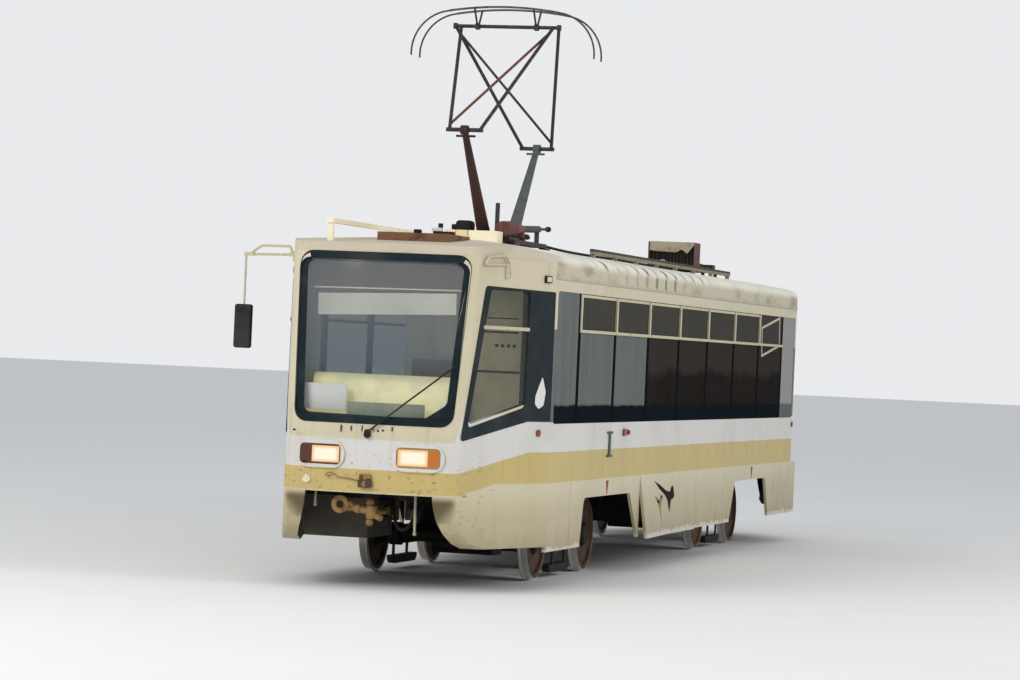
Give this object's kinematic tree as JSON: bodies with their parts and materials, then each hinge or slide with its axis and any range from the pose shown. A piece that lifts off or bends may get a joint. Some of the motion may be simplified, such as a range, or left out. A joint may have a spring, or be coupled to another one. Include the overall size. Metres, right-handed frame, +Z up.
{
  "type": "four-axle city tram",
  "caption": "Cream and ochre city tram with tapered ends, folding roof current collector, turning bogies and inward-gliding doors on one side.",
  "frame": {"origin": "mid-length and mid-width of the body, on the plane that the wheel flanges stand on", "axes": "+Z up, the front of the tram faces -Y, +X is the tram's left side"},
  "size_m": [2.798, 15.0551, 5.5563],
  "materials": {
    "body_paint": "worn cream paint with ochre and white bands",
    "roof_paint": "dusty cream paint",
    "glass": "dusty safety glass",
    "trim_paint": "cream enamel",
    "lamp_glass": "ribbed lamp glass",
    "lamp_ring": "worn ochre enamel",
    "black_plastic": "black moulded plastic",
    "floor_mat": "ribbed rubber floor",
    "step_plate": "chequered step plate",
    "frame_paint": "dirty black paint",
    "roof_steel": "dark dirty steel",
    "tan_sheet": "tan sheet with rust",
    "rusty_sheet": "rusty brown sheet",
    "collector_base": "dark red-brown paint",
    "collector_rust": "red-brown primer",
    "collector_grey": "grey paint",
    "contact_steel": "worn contact bows",
    "seat_plastic": "moulded seats",
    "rail_steel": "enamelled tube",
    "panel_board": "pale laminate",
    "console_plastic": "yellowed plastic",
    "coupler_iron": "rusty cast iron",
    "bogie_paint": "oily black paint",
    "motor_iron": "oily cast iron",
    "wheel_steel": "rusty steel with a bright tread",
    "door_paint": "cream enamel",
    "door_steel": "grey enamel"
  },
  "bodies": {
    "body": {"cab_shell": "body_paint", "rear_shell": "body_paint", "side_left": "body_paint", "side_right": "body_paint", "skirts": "body_paint", "roof": "roof_paint", "cornices": "roof_paint", "roof_fittings": "roof_paint", "end_glass": "glass", "side_glass": "glass", "vent_frames": "trim_paint", "mirror_arms": "trim_paint", "end_lamps": "lamp_glass", "marker_lamps": "lamp_glass", "lamp_rings": "lamp_ring", "mirror_head": "black_plastic", "wiper": "black_plastic", "floor": "floor_mat", "steps": "step_plate", "underframe": "frame_paint", "roof_rails": "roof_steel", "resistor_bank": "roof_steel", "resistor_cover": "tan_sheet", "roof_hatch": "rusty_sheet", "pantograph_base": "collector_base", "seats": "seat_plastic", "handrails": "rail_steel", "partition": "panel_board", "sign_boards": "panel_board", "console": "console_plastic"},
    "bogie_front": {"bogie_front": "bogie_paint", "motors_front": "motor_iron", "rail_brakes_front": "bogie_paint"},
    "bogie_rear": {"bogie_rear": "bogie_paint", "motors_rear": "motor_iron", "rail_brakes_rear": "bogie_paint"},
    "coupler_front": {"coupler_front": "coupler_iron"},
    "coupler_rear": {"coupler_rear": "coupler_iron"},
    "wheelset_front_1": {"wheelset_front_1": "wheel_steel"},
    "wheelset_front_2": {"wheelset_front_2": "wheel_steel"},
    "wheelset_rear_1": {"wheelset_rear_1": "wheel_steel"},
    "wheelset_rear_2": {"wheelset_rear_2": "wheel_steel"},
    "pantograph_lower_front": {"pantograph_lower_front": "collector_rust"},
    "pantograph_lower_rear": {"pantograph_lower_rear": "collector_grey"},
    "pantograph_upper_front": {"pantograph_upper_front": "collector_rust"},
    "pantograph_upper_rear": {"pantograph_upper_rear": "collector_grey"},
    "pantograph_head": {"pantograph_head": "contact_steel"},
    "door_post_1": {"door_post_1": "door_steel"},
    "door_leaf_1": {"door_leaf_1": "door_paint"},
    "door_post_2": {"door_post_2": "door_steel"},
    "door_leaf_2": {"door_leaf_2": "door_paint"},
    "door_post_3": {"door_post_3": "door_steel"},
    "door_leaf_3": {"door_leaf_3": "door_paint"},
    "door_post_4": {"door_post_4": "door_steel"},
    "door_leaf_4": {"door_leaf_4": "door_paint"},
    "door_post_5": {"door_post_5": "door_steel"},
    "door_leaf_5": {"door_leaf_5": "door_paint"},
    "door_post_6": {"door_post_6": "door_steel"},
    "door_leaf_6": {"door_leaf_6": "door_paint"}
  },
  "joints": [
    {"name": "bogie_front_turn", "type": "hinge", "parent": "body", "child": "bogie_front", "pos_m": [0, -3.675, 0.7], "axis": [0, 0, 1], "range_deg": [-11, 11]},
    {"name": "wheelset_front_1_spin", "type": "hinge", "parent": "bogie_front", "child": "wheelset_front_1", "pos_m": [0, -4.645, 0.377], "axis": [1, 0, 0], "continuous": true},
    {"name": "wheelset_front_2_spin", "type": "hinge", "parent": "bogie_front", "child": "wheelset_front_2", "pos_m": [0, -2.705, 0.377], "axis": [1, 0, 0], "continuous": true},
    {"name": "coupler_front_swing", "type": "hinge", "parent": "body", "child": "coupler_front", "pos_m": [0, -6.9, 0.69], "axis": [0, 0, 1], "range_deg": [-15, 15]},
    {"name": "bogie_rear_turn", "type": "hinge", "parent": "body", "child": "bogie_rear", "pos_m": [0, 3.675, 0.7], "axis": [0, 0, 1], "range_deg": [-11, 11]},
    {"name": "wheelset_rear_1_spin", "type": "hinge", "parent": "bogie_rear", "child": "wheelset_rear_1", "pos_m": [0, 2.705, 0.377], "axis": [1, 0, 0], "continuous": true},
    {"name": "wheelset_rear_2_spin", "type": "hinge", "parent": "bogie_rear", "child": "wheelset_rear_2", "pos_m": [0, 4.645, 0.377], "axis": [1, 0, 0], "continuous": true},
    {"name": "coupler_rear_swing", "type": "hinge", "parent": "body", "child": "coupler_rear", "pos_m": [0, 6.9, 0.69], "axis": [0, 0, 1], "range_deg": [-15, 15]},
    {"name": "pantograph_raise", "type": "hinge", "parent": "body", "child": "pantograph_lower_front", "pos_m": [0, -4.005, 3.29], "axis": [1, 0, 0], "range_deg": [-6.5, 26.7]},
    {"name": "pantograph_lower_rear_turn", "type": "hinge", "parent": "body", "child": "pantograph_lower_rear", "pos_m": [0, -2.975, 3.29], "axis": [1, 0, 0], "range_deg": [-26.7, 6.5]},
    {"name": "pantograph_upper_front_turn", "type": "hinge", "parent": "pantograph_lower_front", "child": "pantograph_upper_front", "pos_m": [0, -4.86483, 4.25166], "axis": [1, 0, 0], "range_deg": [-51.45, 12.53]},
    {"name": "pantograph_upper_rear_turn", "type": "hinge", "parent": "pantograph_lower_rear", "child": "pantograph_upper_rear", "pos_m": [0, -2.11517, 4.25166], "axis": [1, 0, 0], "range_deg": [-12.53, 51.45]},
    {"name": "pantograph_head_level", "type": "hinge", "parent": "pantograph_upper_front", "child": "pantograph_head", "pos_m": [0, -3.49, 5.36645], "axis": [1, 0, 0], "range_deg": [-6.03, 24.75]},
    {"name": "door_1_open", "type": "hinge", "parent": "body", "child": "door_post_1", "pos_m": [-1.22, -5.925, 1.5], "axis": [0, 0, 1], "range_deg": [-86, 0]},
    {"name": "door_1_leaf_1", "type": "hinge", "parent": "door_post_1", "child": "door_leaf_1", "pos_m": [-1.22, -5.553, 1.5], "axis": [0, 0, 1], "range_deg": [0, 172]},
    {"name": "door_2_open", "type": "hinge", "parent": "body", "child": "door_post_2", "pos_m": [-1.22, -2.115, 1.5], "axis": [0, 0, 1], "range_deg": [-86, 0]},
    {"name": "door_2_leaf_1", "type": "hinge", "parent": "door_post_2", "child": "door_leaf_2", "pos_m": [-1.22, -1.7715, 1.5], "axis": [0, 0, 1], "range_deg": [0, 172]},
    {"name": "door_2_other_post", "type": "hinge", "parent": "body", "child": "door_post_3", "pos_m": [-1.22, -0.785, 1.5], "axis": [0, 0, 1], "range_deg": [0, 86]},
    {"name": "door_2_leaf_2", "type": "hinge", "parent": "door_post_3", "child": "door_leaf_3", "pos_m": [-1.22, -1.1285, 1.5], "axis": [0, 0, 1], "range_deg": [-172, 0]},
    {"name": "door_3_open", "type": "hinge", "parent": "body", "child": "door_post_4", "pos_m": [-1.22, 0.785, 1.5], "axis": [0, 0, 1], "range_deg": [-86, 0]},
    {"name": "door_3_leaf_1", "type": "hinge", "parent": "door_post_4", "child": "door_leaf_4", "pos_m": [-1.22, 1.1285, 1.5], "axis": [0, 0, 1], "range_deg": [0, 172]},
    {"name": "door_3_other_post", "type": "hinge", "parent": "body", "child": "door_post_5", "pos_m": [-1.22, 2.115, 1.5], "axis": [0, 0, 1], "range_deg": [0, 86]},
    {"name": "door_3_leaf_2", "type": "hinge", "parent": "door_post_5", "child": "door_leaf_5", "pos_m": [-1.22, 1.7715, 1.5], "axis": [0, 0, 1], "range_deg": [-172, 0]},
    {"name": "door_4_open", "type": "hinge", "parent": "body", "child": "door_post_6", "pos_m": [-1.22, 5.295, 1.5], "axis": [0, 0, 1], "range_deg": [-86, 0]},
    {"name": "door_4_leaf_1", "type": "hinge", "parent": "door_post_6", "child": "door_leaf_6", "pos_m": [-1.22, 5.667, 1.5], "axis": [0, 0, 1], "range_deg": [0, 172]}
  ],
  "couplings": [
    {"joint": "pantograph_lower_rear_turn", "follows": "pantograph_raise", "ratio": -1},
    {"joint": "pantograph_upper_front_turn", "follows": "pantograph_raise", "ratio": -1.9269},
    {"joint": "pantograph_upper_rear_turn", "follows": "pantograph_raise", "ratio": 1.9269},
    {"joint": "pantograph_head_level", "follows": "pantograph_raise", "ratio": 0.92688},
    {"joint": "door_1_leaf_1", "follows": "door_1_open", "ratio": -2},
    {"joint": "door_2_leaf_1", "follows": "door_2_open", "ratio": -2},
    {"joint": "door_2_other_post", "follows": "door_2_open", "ratio": -1},
    {"joint": "door_2_leaf_2", "follows": "door_2_open", "ratio": 2},
    {"joint": "door_3_leaf_1", "follows": "door_3_open", "ratio": -2},
    {"joint": "door_3_other_post", "follows": "door_3_open", "ratio": -1},
    {"joint": "door_3_leaf_2", "follows": "door_3_open", "ratio": 2},
    {"joint": "door_4_leaf_1", "follows": "door_4_open", "ratio": -2}
  ]
}
